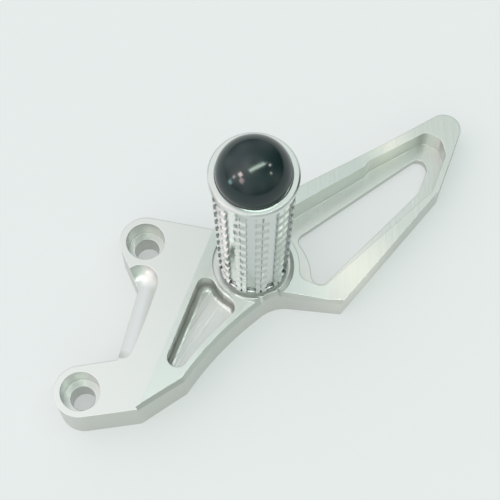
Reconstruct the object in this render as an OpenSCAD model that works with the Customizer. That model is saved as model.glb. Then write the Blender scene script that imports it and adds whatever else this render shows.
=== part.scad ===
// Rear set footrest: a milled plate with a heel guard, and a toothed peg bolted to it.
// Sizes are in millimetres. The origin is on the back face, midway between the mounting holes.
// +Z points out along the peg, +Y from the lower hole to the upper one, +X to the heel guard.

/* [Mounting lugs] */
// Distance between the two mounting holes
hole_spacing = 58; // [54:1:62]
// Diameter of each mounting hole
hole_d = 8.5; // [6.5:0.5:10]
// Diameter of the recess for each screw head
head_recess_d = 13.5; // [12:0.5:15]
// Depth of the recess for each screw head
head_recess_depth = 8.6; // [6:0.2:11]
// Radius of the round end of each lug
lug_r = 9; // [8.5:0.5:10]

/* [Plate] */
// Thickness of the flange that holds the lugs
flange_t = 18; // [16:0.5:20]
// Thickness of the heel guard
guard_t = 12; // [9:0.5:14]
// Where the front face starts to slope down from the flange
flange_fold_x = 20.5; // [18:0.5:22]
// Where the slope ends and the level heel guard starts
guard_fold_x = 66.5; // [60:0.5:70]
// Width of the chamfer along the lower edge
edge_chamfer = 1.25; // [0.5:0.05:1.5]
// Radius of the long hollow in the lower edge
hollow_r = 120; // [60:1:200]
// Radius of the tight hollow beside the peg
throat_r = 12.7; // [9:0.1:16]

/* [Heel guard] */
// How far the guard reaches from the mounting holes
guard_reach_x = 90.4; // [86:0.2:96]
// Height of the middle of the guard's round tip
tip_y = 110.8; // [108:0.2:118]
// Radius of the guard's round tip
tip_r = 6; // [5:0.5:8]
// Width of the rim that stands proud along the guard's outer end
guard_rim = 2.2; // [1.5:0.1:3]
// Width of the ledge inside that rim
guard_ledge = 4.8; // [3:0.1:6]
// Thickness of the ledge round the window
ledge_t = 3; // [2:0.2:6]
// Corner radius of the window
window_r = 3.4; // [2:0.1:4]

/* [Weight-saving pocket] */
// Where the pocket's straight side lies
pocket_x = 22.5; // [21.5:0.1:24]
// Wall left between the pocket and the lower edge
pocket_wall = 3.4; // [2.5:0.1:4.5]
// Depth of the pocket below the flange's face
pocket_depth = 9.5; // [4:0.5:12]
// Radius of the ball-nosed cutter that made the pocket
ball_r = 2.2; // [1.5:0.1:2.6]
// How much wider than the cutter the pocket's corners sweep round
pocket_sweep = 1.2; // [0.6:0.1:1.4]

/* [Scooped left edge] */
// Radius of the ball-nosed cutter that made the scoop
scoop_r = 8; // [7:0.5:9]
// Depth of the scoop at its upper end
scoop_depth = 3; // [2:0.1:3.4]
// Depth of the scoop at its lower end, where it runs out
scoop_foot_depth = 0.85; // [0.4:0.05:1.5]
// Length from the upper hole to the middle of the scoop's upper end
scoop_top_gap = 14.5; // [14.4:0.1:16]
// Length from the lower hole to the middle of the scoop's lower end
scoop_foot_gap = 19; // [18:0.5:24]

/* [Peg] */
// Distance of the peg from the mounting holes
peg_x = 38; // [36:0.5:40]
// Height of the peg above the middle of the mounting holes
peg_y = 35; // [34:0.5:37]
// Height of the face that the peg stands on
seat_z = 16; // [14.5:0.25:17]
// Radius of the round boss under the peg
boss_r = 14.2; // [13:0.1:14.8]
// Length of the peg
peg_length = 74; // [60:1:90]
// Radius of the toothed body at the plate
peg_base_r = 12.05; // [11.5:0.05:12.5]
// Radius of the toothed body under the rim
peg_top_r = 13.2; // [12.6:0.1:14]
// Radius of the plain rim
rim_r = 14; // [13.5:0.1:15]
// Height of the plain rim
rim_h = 2.5; // [2:0.1:4]
// Height of the plain collar at the plate
collar_h = 3; // [1:0.5:5]

/* [Teeth] */
// Number of toothed ridges round the peg
ridge_count = 11; // [8:1:13]
// Number of notches along each ridge
notch_rows = 11; // [6:1:12]
// Width of each smooth channel between the ridges
channel_w = 3.2; // [2.5:0.1:3.6]
// Depth of the channels
channel_depth = 1.1; // [0.8:0.05:1.2]
// Width of a notch at the surface
notch_w = 2.7; // [1.5:0.1:3]
// Depth of a notch
notch_depth = 0.95; // [0.5:0.05:1.1]
// Width of the split down the middle of each ridge
split_w = 0.6; // [0.3:0.05:0.9]
// Where the first ridge points
ridge_turn = -56.8; // [-180:0.1:180]

/* [Peg bore and end cap] */
// Radius of the bore down the peg
bore_r = 9; // [8.8:0.1:10]
// Thickness of the peg's solid foot, which the bolt clamps
foot_t = 14; // [8:0.5:18]
// Radius of the cap's ball
ball_cap_r = 11.85; // [11:0.05:12]
// Gap round the ball inside the rim
cap_gap = 0.1; // [0.05:0.05:0.5]
// Depth of the recess that the cap's shoulder sits in
cap_recess = 1.5; // [1:0.1:3]
// Length of the cap's plug
plug_length = 10; // [6:0.5:14]
// Wall of the cap's plug
plug_wall = 2; // [1.5:0.1:3]

/* [Peg bolt] */
// Thread diameter of the bolt
bolt_d = 8; // [6:0.5:8]
// Length of the bolt under its head
bolt_length = 30; // [22:1:30]
// Diameter of the bolt's head
bolt_head_d = 13; // [12:0.5:13.5]
// Height of the bolt's head
bolt_head_h = 8; // [6:0.5:8]
// Key size of the bolt's socket
bolt_key = 6; // [4:0.5:6]
// Outer diameter of the washer
washer_d = 16; // [14:0.5:17]
// Thickness of the washer
washer_t = 1.6; // [1:0.1:2.5]

/* [Hidden] */
$fn = 96;
// Overlap of a cutter past the face that it starts from
over = 1;
// How far a straight edge dips inside the round end that it runs into
dip = 0.02;
// Radial gap between a plain shank and its tapped hole
thread_gap = 0.05;
// Radial gap of the bolt and the washer in their holes
bolt_gap = 0.2;
// Radial gap of the cap's plug in the bore
plug_gap = 0.05;

upper_hole = [0, hole_spacing / 2];
lower_hole = [0, -hole_spacing / 2];
peg_at = [peg_x, peg_y];
web_slope = atan((flange_t - guard_t) / (guard_fold_x - flange_fold_x));
lower_edge_angle = 28.6;

// Corners of the plate, counter-clockwise from the lower lug
lower_start = lower_hole + (lug_r - dip) * [sin(lower_edge_angle), -cos(lower_edge_angle)];
fold_corner = lower_start + (flange_fold_x - lower_start.x) * [1, tan(lower_edge_angle)];
knee = [31.3, -12.8];
throat_start = peg_at + [7.6, -12.1];
throat_end = peg_at + [15.9, -5.9];
guard_inner = [71.6, 33.7];
guard_outer = [guard_reach_x, 87];
tip_at = [guard_reach_x - tip_r, tip_y];
shoulder = [20.5, 41.5];
notch_top = [4, 12.2];
notch_foot = [7.5, -14.4];

// Heights on the peg
peg_top_z = seat_z + peg_length;
collar_z = seat_z + collar_h;
rim_z = peg_top_z - rim_h;
groove_h = 1;
teeth_z = rim_z - groove_h;
foot_z = seat_z + foot_t;
washer_z = foot_z + washer_t;
cap_seat_z = peg_top_z - cap_recess;
peg_taper = atan((peg_top_r - peg_base_r) / (teeth_z - collar_z));
notch_pitch = (teeth_z - collar_z) / (notch_rows + 0.5);

// Direction of q as seen from p
function heading(p, q) = atan2(q.y - p.y, q.x - p.x);

// Point at which a line from p runs into a round end, on its left (side 1) or right (side -1)
function tangent_point(c, r, p, side) =
    let (turn = heading(c, p) + side * acos((r - dip) / norm(p - c)))
    c + (r - dip) * [cos(turn), sin(turn)];

// Centre of an arc from p to q, on the right of that line
function arc_centre(p, q, r) =
    let (d = norm(q - p), h = sqrt(r * r - d * d / 4))
    (p + q) / 2 + h / d * [q.y - p.y, p.x - q.x];

// Points along that arc, from p up to but not including q
function arc_points(p, q, r, steps) =
    let (c = arc_centre(p, q, r), from = heading(c, p), turn = heading(c, q) - from)
    [for (i = [0 : steps - 1]) c + r * [cos(from + turn * i / steps), sin(from + turn * i / steps)]];

function unit(v) = v / norm(v);

// The two hollows in the lower edge, from the knee to the guard
lower_hollows = concat(
    arc_points(knee, throat_start, hollow_r, 14),
    arc_points(throat_start, throat_end, throat_r, 10),
    [throat_end]
);

// Height of the web's face at a point of the plan
function web_z(p) =
    flange_t - (min(max(p.x, flange_fold_x), guard_fold_x) - flange_fold_x) * tan(web_slope);

// Height of the lower edge, which rises where it crosses the boss
function edge_z(p) = norm(p - peg_at) < boss_r ? seat_z : web_z(p);

// Radius of the peg's toothed body at height z
function body_r(z) = peg_base_r + (z - collar_z) * tan(peg_taper);

module plate_outline() {
    polygon(concat(
        [lower_start, fold_corner],
        lower_hollows,
        [
            guard_inner, guard_outer, tip_at + [tip_r - dip, 0],
            tangent_point(tip_at, tip_r, shoulder, -1), shoulder,
            tangent_point(upper_hole, lug_r, shoulder, 1),
            tangent_point(upper_hole, lug_r, notch_top, -1), notch_top, notch_foot,
            tangent_point(lower_hole, lug_r, notch_foot, 1)
        ]
    ));
    translate(upper_hole) circle(lug_r);
    translate(lower_hole) circle(lug_r);
    translate(tip_at) circle(tip_r);
}

// Side view of the plate: flange, sloping web and level guard
module plate_side() {
    left = -2 * lug_r;
    right = guard_reach_x + over;
    polygon([
        [left, 0], [right, 0], [right, guard_t], [guard_fold_x, guard_t],
        [flange_fold_x, flange_t], [left, flange_t]
    ]);
}

// Cutter that follows the lower edge, with a corner of 45 degrees in the metal
module lower_edge_chamfer() {
    run_out = guard_inner + 2 * unit(guard_inner - throat_end);
    path = concat([fold_corner], lower_hollows, [guard_inner, run_out]);
    last = len(path) - 1;
    rings = [
        for (i = [0 : last])
            let (
                before = unit(path[max(i, 1)] - path[max(i, 1) - 1]),
                after = unit(path[min(i + 1, last)] - path[min(i, last - 1)]),
                along = unit(before + after) / sqrt((1 + before * after) / 2),
                inward = [-along.y, along.x]
            )
            for (corner = [[edge_chamfer + over, over], [-over, over], [-over, -edge_chamfer - over]])
                let (at = path[i] + corner[0] * inward)
                [at.x, at.y, edge_z(path[i]) + corner[1]]
    ];
    sides = [
        for (i = [0 : last - 1], k = [0 : 2])
            let (a = 3 * i + k, b = 3 * i + (k + 1) % 3)
            each [[b, a, b + 3], [b + 3, a, a + 3]]
    ];
    polyhedron(rings, concat([[0, 1, 2]], sides, [[3 * last + 2, 3 * last + 1, 3 * last]]));
}

// Round boss under the peg, chamfered on top
module boss() {
    translate([peg_x, peg_y, 0])
        rotate_extrude()
        polygon([
            [0, 0], [boss_r, 0], [boss_r, seat_z - edge_chamfer],
            [boss_r - edge_chamfer, seat_z], [0, seat_z]
        ]);
}

// Shape of the pocket on the plan, bounded by the flange, the lower edge and the boss
module pocket_shape() {
    hollow_centre = arc_centre(knee, throat_start, hollow_r);
    difference() {
        polygon([
            [pocket_x, knee.y], [knee.x, knee.y], throat_start, peg_at, [pocket_x, peg_y]
        ]);
        translate(hollow_centre) circle(hollow_r + pocket_wall, $fn = 180);
        translate(peg_at) circle(boss_r + 1.1);
    }
}

// Hollow left by a ball-nosed cutter that follows the pocket's shape
module web_pocket() {
    translate([0, 0, flange_t - pocket_depth + ball_r])
        minkowski() {
            linear_extrude(flange_t)
                offset(r = pocket_sweep, $fn = 32)
                offset(delta = -ball_r - pocket_sweep)
                pocket_shape();
            sphere(ball_r, $fn = 24);
        }
}

// Upper, wider part of the heel guard's window
module window_top_shape() {
    x = guard_reach_x - guard_rim;
    offset(r = window_r, $fn = 48) offset(delta = -window_r)
        difference() {
            polygon([
                [33.5, 47.8], [52, 36.8], [63.4, 36.8], [x, 85.8], [x, 101.5],
                [x - 3.6, 106.6], [x - 9.6, 107.4], [63.1, 89], [62.2, 86]
            ]);
            translate(peg_at) circle(boss_r + 2.1);
        }
}

// Lower, narrower part of the window, inside the ledge
module window_through_shape() {
    x = guard_reach_x - guard_rim - guard_ledge;
    offset(r = window_r, $fn = 48) offset(delta = -window_r)
        difference() {
            polygon([
                [43, 48], [58, 40.6], [62.6, 40.6], [x, 87.2], [x, 97.4],
                [x - 2.4, 100.8], [x - 5.2, 100.4]
            ]);
            translate(peg_at) circle(boss_r + 6.5);
        }
}

module heel_window() {
    translate([0, 0, ledge_t]) linear_extrude(flange_t) window_top_shape();
    translate([0, 0, -over]) linear_extrude(flange_t) window_through_shape();
}

// Scoop along the left edge, as a ball-nosed cutter leaves it when it climbs out of the metal
module edge_scoop() {
    top = [notch_top.x, upper_hole.y - scoop_top_gap, flange_t - scoop_depth + scoop_r];
    foot = [notch_foot.x, lower_hole.y + scoop_foot_gap, flange_t - scoop_foot_depth + scoop_r];
    travel = foot - top;
    reach = norm(travel);
    translate(top)
        rotate([0, acos(travel.z / reach), atan2(travel.y, travel.x)])
        rotate_extrude()
        intersection() {
            union() {
                circle(scoop_r);
                translate([0, reach]) circle(scoop_r);
                translate([-scoop_r, 0]) square([2 * scoop_r, reach]);
            }
            translate([0, -2 * scoop_r]) square([2 * scoop_r, reach + 4 * scoop_r]);
        }
}

module mounting_hole(at) {
    translate([at.x, at.y, -over]) cylinder(d = hole_d, h = flange_t + 2 * over);
    translate([at.x, at.y, flange_t - head_recess_depth])
        cylinder(d = head_recess_d, h = head_recess_depth + over);
}

module bracket_plate() {
    color("#D8DBD4")
        difference() {
            intersection() {
                union() {
                    translate([0, tip_y + 2 * tip_r, 0])
                        rotate([90, 0, 0])
                        linear_extrude(tip_y + hole_spacing + 3 * lug_r)
                        plate_side();
                    boss();
                }
                linear_extrude(2 * flange_t) plate_outline();
            }
            translate([peg_x, peg_y, seat_z]) cylinder(r = boss_r, h = flange_t);
            translate([peg_x, peg_y, -over])
                cylinder(r = bolt_d / 2 + thread_gap, h = flange_t + 2 * over);
            lower_edge_chamfer();
            web_pocket();
            heel_window();
            edge_scoop();
            mounting_hole(upper_hole);
            mounting_hole(lower_hole);
        }
}

// Half section of one notch, centred at height z, from its lower lip to its upper lip
function notch_points(z) = [
    [body_r(z) , z - notch_w / 2],
    [body_r(z) - notch_depth, z - notch_w / 6],
    [body_r(z) - notch_depth, z + notch_w / 6],
    [body_r(z) , z + notch_w / 2]
];

// Turned blank of the peg, with a notch for each row of teeth
module peg_blank() {
    collar_r = peg_base_r - channel_depth;
    groove_r = peg_top_r - channel_depth;
    rim_edge = 0.5;
    notches = [
        for (row = [0 : notch_rows - 1])
            each notch_points(collar_z + notch_pitch * (row + 0.5))
    ];
    rotate_extrude()
        polygon(concat(
            [[0, seat_z], [collar_r, seat_z], [collar_r, collar_z], [peg_base_r, collar_z]],
            notches,
            [
                [peg_top_r, teeth_z], [groove_r, teeth_z], [groove_r, rim_z], [rim_r, rim_z],
                [rim_r, peg_top_z - rim_edge], [rim_r - rim_edge, peg_top_z], [0, peg_top_z]
            ]
        ));
}

// Smooth channel milled along the peg, following its taper
module peg_channel() {
    length = (teeth_z + groove_h / 2 - collar_z) / cos(peg_taper);
    translate([peg_base_r, 0, collar_z])
        rotate([0, peg_taper, 0])
        translate([-channel_depth, -channel_w / 2, 0])
        cube([2 * channel_depth, channel_w, length]);
}

// Fine split down the middle of a ridge
module ridge_split() {
    length = (teeth_z + groove_h / 2 - collar_z) / cos(peg_taper);
    translate([peg_base_r, 0, collar_z])
        rotate([0, peg_taper, 0])
        rotate([0, 0, 45])
        translate([-split_w / 2, -split_w / 2, 0])
        cube([split_w, split_w, length]);
}

module footpeg() {
    pitch = 360 / ridge_count;
    color("#DDDFDA")
        difference() {
            translate([peg_x, peg_y, 0]) peg_blank();
            translate([peg_x, peg_y, 0])
                for (ridge = [0 : ridge_count - 1]) {
                    rotate(ridge_turn + ridge * pitch) ridge_split();
                    rotate(ridge_turn + (ridge + 0.5) * pitch) peg_channel();
                }
            translate([peg_x, peg_y, seat_z - over])
                cylinder(r = bolt_d / 2 + bolt_gap, h = foot_t + 2 * over);
            translate([peg_x, peg_y, foot_z]) cylinder(r = bore_r, h = peg_length);
            translate([peg_x, peg_y, cap_seat_z])
                cylinder(r = ball_cap_r + cap_gap, h = cap_recess + over);
        }
}

module peg_end_cap() {
    plug_r = bore_r - plug_gap;
    color("#15181A")
        translate([peg_x, peg_y, 0])
        difference() {
            union() {
                intersection() {
                    translate([0, 0, peg_top_z]) sphere(ball_cap_r);
                    translate([0, 0, peg_top_z]) cylinder(r = 2 * ball_cap_r, h = 2 * ball_cap_r);
                }
                translate([0, 0, cap_seat_z]) cylinder(r = ball_cap_r, h = cap_recess);
                translate([0, 0, cap_seat_z - plug_length]) cylinder(r = plug_r, h = plug_length);
            }
            translate([0, 0, cap_seat_z - plug_length - over])
                cylinder(r = plug_r - plug_wall, h = plug_length + over);
        }
}

module peg_bolt() {
    chamfer = 0.8;
    color("#3A3C3E")
        translate([peg_x, peg_y, washer_z])
        difference() {
            union() {
                cylinder(d = bolt_head_d, h = bolt_head_h - chamfer);
                translate([0, 0, bolt_head_h - chamfer])
                    cylinder(d1 = bolt_head_d, d2 = bolt_head_d - 2 * chamfer, h = chamfer);
                translate([0, 0, chamfer - bolt_length])
                    cylinder(d = bolt_d, h = bolt_length - chamfer);
                translate([0, 0, -bolt_length])
                    cylinder(d1 = bolt_d - 2 * chamfer, d2 = bolt_d, h = chamfer);
            }
            translate([0, 0, bolt_head_h / 2])
                cylinder(d = bolt_key / cos(30), h = bolt_head_h, $fn = 6);
        }
}

module peg_washer() {
    color("#B9BCBE")
        translate([peg_x, peg_y, foot_z])
        difference() {
            cylinder(d = washer_d, h = washer_t);
            translate([0, 0, -over]) cylinder(r = bolt_d / 2 + bolt_gap, h = washer_t + 2 * over);
        }
}

bracket_plate();
footpeg();
peg_end_cap();
peg_bolt();
peg_washer();
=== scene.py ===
import math

import bpy
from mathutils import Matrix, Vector


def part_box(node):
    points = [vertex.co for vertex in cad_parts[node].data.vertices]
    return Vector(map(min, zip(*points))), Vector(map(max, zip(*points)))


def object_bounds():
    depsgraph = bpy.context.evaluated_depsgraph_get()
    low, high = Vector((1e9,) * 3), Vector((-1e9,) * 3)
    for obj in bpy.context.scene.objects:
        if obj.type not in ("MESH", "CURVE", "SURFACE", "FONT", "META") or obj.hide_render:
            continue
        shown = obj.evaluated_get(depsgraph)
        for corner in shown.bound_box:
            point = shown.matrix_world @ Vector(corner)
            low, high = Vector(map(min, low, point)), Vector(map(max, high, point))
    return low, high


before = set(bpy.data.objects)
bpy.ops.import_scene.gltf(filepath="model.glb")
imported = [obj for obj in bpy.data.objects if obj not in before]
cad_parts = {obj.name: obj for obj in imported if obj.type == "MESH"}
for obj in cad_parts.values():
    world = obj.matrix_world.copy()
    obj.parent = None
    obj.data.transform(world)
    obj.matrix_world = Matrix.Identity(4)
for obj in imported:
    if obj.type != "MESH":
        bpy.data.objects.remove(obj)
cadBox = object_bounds()
print("frame loaded:", sorted(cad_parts))

scene = bpy.context.scene
scene.view_settings.view_transform = "Standard"

# Points of the frame that the finishes and the lamps are placed from
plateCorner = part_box("bracket_plate")[1]
pegLow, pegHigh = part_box("footpeg")
pegFoot = Vector(((pegLow.x + pegHigh.x) / 2, (pegLow.y + pegHigh.y) / 2, pegLow.z))
ballMiddle = Vector((pegFoot.x, pegFoot.y, pegHigh.z))


def toLinear(hexColour):
    channels = [int(hexColour[i:i + 2], 16) / 255 for i in (1, 3, 5)]
    return tuple(c / 12.92 if c <= 0.04045 else ((c + 0.055) / 1.055) ** 2.4 for c in channels) + (1,)


def metres(sizesMm):
    return Vector(sizesMm) / 1000


def perMetre(sizeMm):
    return 1000 / sizeMm   # texture scale on Object coordinates, from a real size


def wavesPerMetre(sizeMm):
    return perMetre(sizeMm) * math.pi / 10   # a wave texture of scale 1 repeats every pi / 10


# Inputs go by name or number. A Mix node for colours has its factor at 0, its colours at 6 and 7
# and its result at 2, because its names are shared by several kinds of value.
def addNode(tree, kind, inputs=None, **settings):
    node = tree.nodes.new(kind)
    for name, value in settings.items():
        setattr(node, name, value)
    for key, value in (inputs or {}).items():
        if isinstance(value, bpy.types.NodeSocket):
            tree.links.new(value, node.inputs[key])
        else:
            node.inputs[key].default_value = value
    return node


def newMaterial(name):
    material = bpy.data.materials.new(name)
    material.use_nodes = True
    material.node_tree.nodes.clear()
    return material, material.node_tree


def finishMaterial(tree, inputs):
    shader = addNode(tree, "ShaderNodeBsdfPrincipled", inputs)
    addNode(tree, "ShaderNodeOutputMaterial", {"Surface": shader.outputs["BSDF"]})


# Milled aluminium, clear anodised: end mills leave fine straight marks on every face, plainest
# at the guard's tip, and longer strokes on the pocket's floor, and the anodising dulls them to
# satin. So the eye sees soft broad reflections with faint streaks in them. Both kinds of mark
# are drawn wider than the real 0.3 mm, or they would be too fine to show.
plateFinish = {
    "colour": "#D3D6D2",
    "metallic": 0.88,              # the anodising scatters the rest
    "roughness": (0.28, 0.31),
    "cloudMm": 9.0,                # size of the patches of more and less gloss
    "cloudRange": (0.3, 0.7),      # how much of the noise the roughness takes
    "edgeRadiusMm": 0.35,          # broken edges
    "markMm": (1.0, 16.0),         # width and length of a mark
    "markTurn": 20,                # degrees from the flange's straight side
    "markDepthMm": 0.14,
    "markStrength": (0.6, 0.08),   # near the guard's tip, and far from it
    "markFadeMm": (40.0, 120.0),   # how near and how far that is
    "tipMm": (-6.4, -6.8, -6.0),   # from the plate's far top corner
    "strokeMm": (0.9, 22.0),       # the same for a stroke on the pocket's floor
    "strokeTurn": -12,
    "strokeDepthMm": 0.19,
    "pocketPaintedShade": 0.9,            # painted shade: the pocket's floor is drawn darker, for the shade its walls cast
    "pocketMm": (-2.0, -33.0, -7.4),   # middle of the pocket's floor, from the peg's foot
    "pocketReachMm": (15.0, 27.0, 0.5),
    "sideCut": "#CCCDC8",          # walls cut by the side of the tool, which leaves them duller
    "sideCutRange": (0.2, 0.6),    # share of up or down in a face's direction, from wall to none
    "paintedHighlight": "#EEEBE2",    # painted highlight: paler patches on the two bars of the guard, where the bright reflections fall
    "highlightSpotsMm": [               # middle, from the plate's far top corner, and reach
        ((-18.4, -69.8, -6.0), 26.0),
        ((-24.4, -18.8, -6.0), 15.0),
    ],
}


def pocketMask(tree, place):
    middle = pegFoot + metres(plateFinish["pocketMm"])
    away = addNode(tree, "ShaderNodeVectorMath", {0: place, 1: middle}, operation="SUBTRACT")
    split = addNode(tree, "ShaderNodeSeparateXYZ", {"Vector": away.outputs["Vector"]})
    mask = 1.0
    for axis, reach in zip("XYZ", metres(plateFinish["pocketReachMm"])):
        inside = addNode(tree, "ShaderNodeMath", {
            0: split.outputs[axis], 1: 0.0, 2: reach,
        }, operation="COMPARE").outputs[0]
        mask = addNode(tree, "ShaderNodeMath", {0: inside, 1: mask}, operation="MULTIPLY").outputs[0]
    return mask


def streaks(tree, place, sizeMm, turn):
    width, length = metres(sizeMm)
    along = addNode(tree, "ShaderNodeMapping", {
        "Vector": place, "Rotation": (0, 0, math.radians(turn)), "Scale": (width, length, length),
    }, vector_type="TEXTURE")
    noise = addNode(tree, "ShaderNodeTexNoise", {
        "Vector": along.outputs["Vector"], "Scale": 1.0, "Detail": 2.0,
    })
    return noise.outputs["Fac"]


def plateNormal(tree, place, pocket):
    edge = addNode(tree, "ShaderNodeBevel", {
        "Radius": plateFinish["edgeRadiusMm"] / 1000,
    }, samples=8)
    fromTip = addNode(tree, "ShaderNodeVectorMath", {
        0: place, 1: plateCorner + metres(plateFinish["tipMm"]),
    }, operation="DISTANCE")
    near, far = metres(plateFinish["markFadeMm"])
    strength = addNode(tree, "ShaderNodeMapRange", {
        "Value": fromTip.outputs["Value"], "From Min": near, "From Max": far,
        "To Min": plateFinish["markStrength"][0], "To Max": plateFinish["markStrength"][1],
    })
    marked = addNode(tree, "ShaderNodeBump", {
        "Height": streaks(tree, place, plateFinish["markMm"], plateFinish["markTurn"]),
        "Strength": strength.outputs["Result"], "Distance": plateFinish["markDepthMm"] / 1000,
        "Normal": edge.outputs["Normal"],
    })
    stroked = addNode(tree, "ShaderNodeBump", {
        "Height": streaks(tree, place, plateFinish["strokeMm"], plateFinish["strokeTurn"]),
        "Strength": pocket, "Distance": plateFinish["strokeDepthMm"] / 1000,
        "Normal": marked.outputs["Normal"],
    })
    return stroked.outputs["Normal"]


def plateColour(tree, place, facing, pocket):
    clean = toLinear(plateFinish["colour"])
    split = addNode(tree, "ShaderNodeSeparateXYZ", {"Vector": facing})
    upturned = addNode(tree, "ShaderNodeMath", {0: split.outputs["Z"]}, operation="ABSOLUTE")
    wall = addNode(tree, "ShaderNodeMapRange", {
        "Value": upturned.outputs[0], "To Min": 1.0, "To Max": 0.0,
        "From Min": plateFinish["sideCutRange"][0], "From Max": plateFinish["sideCutRange"][1],
    })
    tone = addNode(tree, "ShaderNodeMix", {
        0: wall.outputs["Result"], 6: clean, 7: toLinear(plateFinish["sideCut"]),
    }, data_type="RGBA").outputs[2]
    # painted highlight: the colour turns paler round each of these spots
    for middle, reach in plateFinish["highlightSpotsMm"]:
        away = addNode(tree, "ShaderNodeVectorMath", {
            0: place, 1: plateCorner + metres(middle),
        }, operation="DISTANCE")
        spot = addNode(tree, "ShaderNodeMapRange", {
            "Value": away.outputs["Value"], "From Min": 0.0, "From Max": reach / 1000,
            "To Min": 1.0, "To Max": 0.0,
        }, interpolation_type="SMOOTHSTEP")
        tone = addNode(tree, "ShaderNodeMix", {
            0: spot.outputs["Result"], 6: tone, 7: toLinear(plateFinish["paintedHighlight"]),
        }, data_type="RGBA").outputs[2]
    # painted shade: inside the pocket's mask the floor takes a darker copy of the plate's colour
    shaded = [c * plateFinish["pocketPaintedShade"] for c in clean[:3]] + [1]
    return addNode(tree, "ShaderNodeMix", {0: pocket, 6: tone, 7: shaded}, data_type="RGBA").outputs[2]


def milledAluminium():
    material, tree = newMaterial("milledAluminium")
    coordinates = addNode(tree, "ShaderNodeTexCoord")
    place = coordinates.outputs["Object"]
    pocket = pocketMask(tree, place)
    clouds = addNode(tree, "ShaderNodeTexNoise", {
        "Vector": place, "Scale": perMetre(plateFinish["cloudMm"]), "Detail": 4.0, "Roughness": 0.55,
    })
    satin = addNode(tree, "ShaderNodeMapRange", {
        "Value": clouds.outputs["Fac"],
        "From Min": plateFinish["cloudRange"][0], "From Max": plateFinish["cloudRange"][1],
        "To Min": plateFinish["roughness"][0], "To Max": plateFinish["roughness"][1],
    })
    finishMaterial(tree, {
        "Base Color": plateColour(tree, place, coordinates.outputs["Normal"], pocket),
        "Metallic": plateFinish["metallic"], "Roughness": satin.outputs["Result"],
        "Normal": plateNormal(tree, place, pocket),
    })
    return material


# Turned and milled aluminium, clear anodised: brighter than the plate, with fine turning rings
# round the rim and the channels, so each facet of a tooth flashes on its own. The rings are
# drawn coarser than the real 0.2 mm feed, or they would be too fine to show.
pegFinish = {
    "colour": "#D6DAD8",
    "roughness": 0.18,
    "edgeRadiusMm": 0.15,
    "ringMm": 0.9,
    "ringDepthMm": 0.003,
    "ringStrength": 0.2,
    "notchShade": "#4E5450",             # painted shade: dark colour in the notches between the teeth, where shade falls
    "notchMm": 1.6,
    "notchShadeRange": (0.3, 0.75),      # how open a spot is where the painted shade starts and where it ends
}


def turnedAluminium():
    material, tree = newMaterial("turnedAluminium")
    place = addNode(tree, "ShaderNodeTexCoord").outputs["Object"]
    rings = addNode(tree, "ShaderNodeTexWave", {
        "Vector": place, "Scale": wavesPerMetre(pegFinish["ringMm"]), "Distortion": 0.4, "Detail": 2.0,
    }, wave_type="BANDS", bands_direction="Z")
    edge = addNode(tree, "ShaderNodeBevel", {"Radius": pegFinish["edgeRadiusMm"] / 1000}, samples=6)
    ringed = addNode(tree, "ShaderNodeBump", {
        "Strength": pegFinish["ringStrength"], "Distance": pegFinish["ringDepthMm"] / 1000,
        "Height": rings.outputs["Fac"], "Normal": edge.outputs["Normal"],
    })
    # painted shade: the notches and other closed-in spots are coloured dark by how closed in they are
    crevice = addNode(tree, "ShaderNodeAmbientOcclusion", {
        "Distance": pegFinish["notchMm"] / 1000,
    }, samples=8, only_local=True)
    unshaded = addNode(tree, "ShaderNodeMapRange", {
        "Value": crevice.outputs["AO"], "To Min": 0.0, "To Max": 1.0,
        "From Min": pegFinish["notchShadeRange"][0], "From Max": pegFinish["notchShadeRange"][1],
    })
    colour = addNode(tree, "ShaderNodeMix", {
        0: unshaded.outputs["Result"], 6: toLinear(pegFinish["notchShade"]), 7: toLinear(pegFinish["colour"]),
    }, data_type="RGBA")
    finishMaterial(tree, {
        "Base Color": colour.outputs[2], "Metallic": 1.0,
        "Roughness": pegFinish["roughness"], "Normal": ringed.outputs["Normal"],
    })
    return material


# Polished black acetal: turned to a ball and buffed, so it is nearly black with sharp
# mirror-like lights, only a little soft from handling.
capFinish = {"colour": "#0E1F21", "roughness": (0.11, 0.19), "smearMm": 6.0, "ior": 1.5}


def polishedAcetal():
    material, tree = newMaterial("polishedAcetal")
    place = addNode(tree, "ShaderNodeTexCoord").outputs["Object"]
    smears = addNode(tree, "ShaderNodeTexNoise", {
        "Vector": place, "Scale": perMetre(capFinish["smearMm"]), "Detail": 3.0,
    })
    gloss = addNode(tree, "ShaderNodeMapRange", {
        "Value": smears.outputs["Fac"],
        "To Min": capFinish["roughness"][0], "To Max": capFinish["roughness"][1],
    })
    finishMaterial(tree, {
        "Base Color": toLinear(capFinish["colour"]), "Roughness": gloss.outputs["Result"],
        "IOR": capFinish["ior"],
    })
    return material


# Steel with a grainy skin, as plating and oxide leave it
def grainySteel(name, finish):
    material, tree = newMaterial(name)
    place = addNode(tree, "ShaderNodeTexCoord").outputs["Object"]
    grain = addNode(tree, "ShaderNodeTexNoise", {"Vector": place, "Scale": perMetre(finish["grainMm"])})
    skin = addNode(tree, "ShaderNodeBump", {
        "Strength": finish["grainStrength"], "Distance": finish["grainDepthMm"] / 1000,
        "Height": grain.outputs["Fac"],
    })
    finishMaterial(tree, {
        "Base Color": toLinear(finish["colour"]), "Metallic": 1.0,
        "Roughness": finish["roughness"], "Normal": skin.outputs["Normal"],
    })
    return material


# Black oxide on steel: a thin dark skin, matt, on the screw inside the peg. The grain is drawn
# coarser than the real one.
screwFinish = {
    "colour": "#2C2C2E", "roughness": 0.45, "grainMm": 0.6, "grainDepthMm": 0.02, "grainStrength": 0.2,
}

# Zinc plate on steel: pale and slightly blue, with a fine sparkle from the plating's crystals,
# which are drawn coarser than the real ones.
washerFinish = {
    "colour": "#BFC3C6", "roughness": 0.35, "grainMm": 0.5, "grainDepthMm": 0.02, "grainStrength": 0.2,
}


def dress(node, material):
    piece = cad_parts[node]
    piece.data.materials.clear()
    piece.data.materials.append(material)


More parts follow.
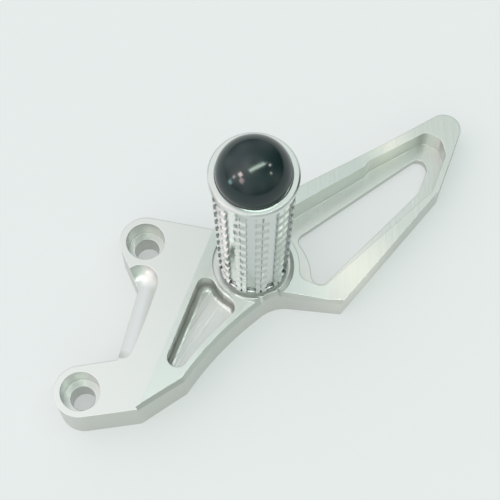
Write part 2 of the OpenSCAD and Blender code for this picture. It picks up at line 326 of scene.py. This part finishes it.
dress("bracket_plate", milledAluminium())
dress("footpeg", turnedAluminium())
dress("peg_end_cap", polishedAcetal())
dress("peg_bolt", grainySteel("blackOxideSteel", screwFinish))
dress("peg_washer", grainySteel("zincPlatedSteel", washerFinish))
print("finishes on:", len(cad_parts), "pieces")

# The floor is a pale sheet under the part. It glows a little, like a light table, but only for
# the camera and for what mirrors it, so that the shade beside the part stays pale.
floorLook = {
    "colour": "#E6E9E9", "roughness": 0.9,
    "glow": "#E5EAE9", "glowShare": 0.5,
    "halfSize": 1.6, "drop": 0.0001,   # metres
}


def layFloor():
    bpy.ops.mesh.primitive_plane_add(size=2 * floorLook["halfSize"], location=(0, 0, 0))
    floor = bpy.context.object
    floor.name = "floor"
    for corner in floor.data.vertices:
        corner.co.z = cadBox[0][2] - floorLook["drop"]
    material, tree = newMaterial("paleSheet")
    sheet = addNode(tree, "ShaderNodeBsdfPrincipled", {
        "Base Color": toLinear(floorLook["colour"]), "Roughness": floorLook["roughness"],
    })
    glow = addNode(tree, "ShaderNodeEmission", {"Color": toLinear(floorLook["glow"]), "Strength": 1.0})
    path = addNode(tree, "ShaderNodeLightPath")
    seen = addNode(tree, "ShaderNodeMath", {
        0: path.outputs["Is Camera Ray"], 1: path.outputs["Is Glossy Ray"],
    }, operation="MAXIMUM")
    share = addNode(tree, "ShaderNodeMath", {
        0: seen.outputs[0], 1: floorLook["glowShare"],
    }, operation="MULTIPLY")
    mixed = addNode(tree, "ShaderNodeMixShader", {
        0: share.outputs[0], 1: sheet.outputs["BSDF"], 2: glow.outputs["Emission"],
    })
    addNode(tree, "ShaderNodeOutputMaterial", {"Surface": mixed.outputs["Shader"]})
    floor.data.materials.append(material)


layFloor()
print("floor laid")

# Studio: a pale room of soft lights in rings. A ring has its elevation in degrees, how tight its
# lights are, and for each light an azimuth, a tint and a level. The left and the front left are
# brightest and the right is dimmest, as the metal in the photograph shows.
roomLook = {
    "seen": "#E8ECEB",             # what the camera sees of the room
    "tints": {"plain": "#FCFEFC", "cool": "#ECF1FF", "green": "#E4FFEE", "warm": "#FFF2F4"},
    "rings": [
        (90, 30, [(0, "cool", 0.5)]),
        (68, 30, [
            (0, "warm", 0.05), (45, "cool", 0.65), (90, "green", 0.45), (135, "warm", 0.6),
            (180, "plain", 0.8), (225, "plain", 1.05), (270, "plain", 0.55), (315, "plain", 0.4),
        ]),
        (45, 14, [
            (22.5, "green", 0.1), (67.5, "green", 0.4), (112.5, "plain", 0.5), (157.5, "cool", 0.85),
            (202.5, "warm", 1.05), (247.5, "plain", 0.85), (292.5, "green", 0.55), (337.5, "green", 0.45),
        ]),
        (20, 14, [
            (0, "green", 0.4), (45, "green", 0.1), (90, "plain", 0.45), (135, "plain", 0.8),
            (180, "plain", 0.7), (225, "warm", 1.25), (270, "plain", 0.6), (315, "plain", 0.55),
        ]),
        (2, 14, [(0, "plain", 0.45), (90, "cool", 0.4), (180, "plain", 0.7), (270, "plain", 0.45)]),
    ],
}


def softLight(tree, direction, azimuth, elevation, tightness, colour):
    east, up = math.radians(azimuth), math.radians(elevation)
    towards = (math.cos(up) * math.cos(east), math.cos(up) * math.sin(east), math.sin(up))
    facing = addNode(tree, "ShaderNodeVectorMath", {
        0: direction, 1: towards,
    }, operation="DOT_PRODUCT").outputs["Value"]
    ahead = addNode(tree, "ShaderNodeMath", {0: facing, 1: 0.0}, operation="MAXIMUM").outputs[0]
    lobe = addNode(tree, "ShaderNodeMath", {0: ahead, 1: tightness}, operation="POWER").outputs[0]
    return addNode(tree, "ShaderNodeVectorMath", {0: colour, "Scale": lobe}, operation="SCALE").outputs[0]


def buildRoom():
    world = bpy.data.worlds.new("room")
    scene.world = world
    world.use_nodes = True
    tree = world.node_tree
    tree.nodes.clear()
    direction = addNode(tree, "ShaderNodeTexCoord").outputs["Generated"]
    tints = {name: toLinear(colour)[:3] for name, colour in roomLook["tints"].items()}
    glow = (0, 0, 0)
    for elevation, tightness, ring in roomLook["rings"]:
        for azimuth, tint, level in ring:
            colour = [c * level for c in tints[tint]]
            light = softLight(tree, direction, azimuth, elevation, tightness, colour)
            glow = addNode(tree, "ShaderNodeVectorMath", {0: glow, 1: light}, operation="ADD").outputs[0]
    lighting = addNode(tree, "ShaderNodeBackground", {"Color": glow})
    seen = addNode(tree, "ShaderNodeBackground", {"Color": toLinear(roomLook["seen"])})
    toCamera = addNode(tree, "ShaderNodeLightPath").outputs["Is Camera Ray"]
    mixed = addNode(tree, "ShaderNodeMixShader", {
        0: toCamera, 1: lighting.outputs["Background"], 2: seen.outputs["Background"],
    })
    addNode(tree, "ShaderNodeOutputWorld", {"Surface": mixed.outputs["Shader"]})


buildRoom()
print("room lit")

# Two plain lamps, in metres: a tube overhead, which hangs level, and a spot in front on the left
lampLooks = {
    "ceilingTube": {
        "at": (0.4, 0.05, 1.5), "heading": 48, "size": (1.5, 0.09), "radiance": 9, "colour": "#F2FFF6",
    },
    "frontSpot": {
        "at": (-0.42, -0.86, 0.75), "size": (0.09, 0.2), "radiance": 5, "colour": "#FFEFEA",
    },
}


def addLamp(name, look, at):
    width, length = look["size"]
    light = bpy.data.lights.new(name, "AREA")
    light.shape = "RECTANGLE"
    light.size = width
    light.size_y = length
    light.energy = look["radiance"] * math.pi * width * length
    light.color = toLinear(look["colour"])[:3]
    lamp = bpy.data.objects.new(name, light)
    scene.collection.objects.link(lamp)
    lamp.location = at
    if "heading" in look:
        lamp.rotation_euler = (0, 0, math.radians(look["heading"]))
    else:
        lamp.rotation_euler = (ballMiddle - Vector(at)).to_track_quat("-Z", "Y").to_euler()
    return lamp


for name, look in lampLooks.items():
    addLamp(name, look, look["at"])

# Lamps that light only the ball and give it the small lights of a room's lamps and windows.
# All stand at one distance from it, each in its own direction.
glintLook = {
    "distance": 1.3,
    "lamps": {
        "tubeGlow": {
            "way": (0.18, -0.06, 0.98), "heading": 50, "size": (1.15, 0.27),
            "radiance": 7, "colour": "#E4FFE9",
        },
        "rosyGlow": {"way": (-0.46, -0.57, 0.67), "size": (0.24, 0.24), "radiance": 16, "colour": "#FFF0EC"},
        "rosyTail": {"way": (-0.3, -0.8, 0.53), "size": (0.24, 0.3), "radiance": 6, "colour": "#FFE0E4"},
        "skyGlow": {"way": (-0.73, -0.69, 0.06), "size": (0.2, 0.24), "radiance": 7, "colour": "#C8FBFF"},
        "whiteDot": {"way": (-0.68, -0.63, 0.38), "size": (0.13, 0.2), "radiance": 9, "colour": "#F4FFFF"},
        "dotHigh": {"way": (0.64, 0.32, 0.7), "size": (0.11, 0.11), "radiance": 18, "colour": "#FFFFFF"},
        "dotLow": {"way": (0.81, 0.02, 0.59), "size": (0.12, 0.12), "radiance": 12, "colour": "#FFF6EC"},
    },
}


def addGlints():
    receivers = bpy.data.collections.new("glintReceivers")
    receivers.objects.link(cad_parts["peg_end_cap"])
    for name, look in glintLook["lamps"].items():
        at = ballMiddle + glintLook["distance"] * Vector(look["way"]).normalized()
        lamp = addLamp(name, look, at)
        lamp.light_linking.receiver_collection = receivers


addGlints()
print("lamps set:", len(lampLooks) + len(glintLook["lamps"]))

# The camera stands where the photograph was taken from: metres, degrees, and millimetres of film
cameraLook = {
    "at": (0.09657, -0.12448, 0.45013), "tilt": 21.97, "turn": 20.56,
    "lens": 96.15, "filmWidth": 36, "nearest": 0.01,
}


def placeCamera():
    camera = bpy.data.objects.new("camera", bpy.data.cameras.new("camera"))
    scene.collection.objects.link(camera)
    camera.location = cameraLook["at"]
    camera.rotation_euler = (math.radians(cameraLook["tilt"]), 0, math.radians(cameraLook["turn"]))
    camera.data.lens = cameraLook["lens"]
    camera.data.sensor_width = cameraLook["filmWidth"]
    camera.data.clip_start = cameraLook["nearest"]
    scene.camera = camera


placeCamera()
print("camera placed")
